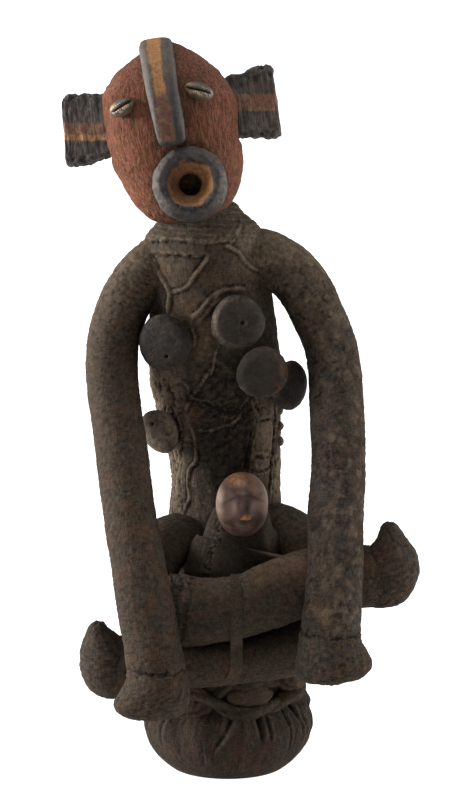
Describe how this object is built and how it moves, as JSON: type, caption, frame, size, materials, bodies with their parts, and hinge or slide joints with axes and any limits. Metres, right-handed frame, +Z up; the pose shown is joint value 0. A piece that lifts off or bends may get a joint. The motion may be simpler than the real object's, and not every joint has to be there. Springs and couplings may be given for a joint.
{
  "type": "seated reliquary figure",
  "caption": "Seated effigy of stuffed, sewn cloth with crossed legs, long arms, a ring mouth, seed discs on the trunk and a tied bundle as its foot.",
  "frame": {"origin": "middle of the flat underside of the tied bundle that the figure stands on", "axes": "+Z up, the face and the hands towards -Y, +X to the right of somebody who looks at the face"},
  "size_m": [0.3041, 0.2173, 0.6319],
  "materials": {
    "body_cloth": "matt, soiled and dusty woven cloth",
    "crusted_cloth": "matt cloth under a dry earthy crust",
    "red_cloth": "matt, felted red-brown cloth",
    "painted_wood": "worn dark paint with ochre",
    "fibre": "matt bundled fibre, painted in bands",
    "cowrie_shell": "satin, stained shell",
    "seed": "satin, dusty dark seed",
    "polished_wood": "handled, semi-gloss wood"
  },
  "bodies": {
    "root": {"base_bundle": "body_cloth", "base_sash": "body_cloth", "torso": "crusted_cloth", "head": "red_cloth", "nose_bar": "painted_wood", "mouth_ring": "painted_wood", "ear_left": "fibre", "ear_right": "fibre", "cowrie_left": "cowrie_shell", "cowrie_right": "cowrie_shell", "arm_left": "body_cloth", "arm_right": "body_cloth", "hand_left": "body_cloth", "hand_right": "body_cloth", "leg_upper": "body_cloth", "leg_lower": "body_cloth", "foot_left": "body_cloth", "foot_right": "body_cloth", "leg_strap": "body_cloth", "lap_body": "body_cloth", "lap_head": "polished_wood", "lap_spur": "polished_wood", "seed_a": "seed", "seed_b": "seed", "seed_c": "seed", "seed_d": "seed", "seed_e": "seed"}
  },
  "joints": []
}
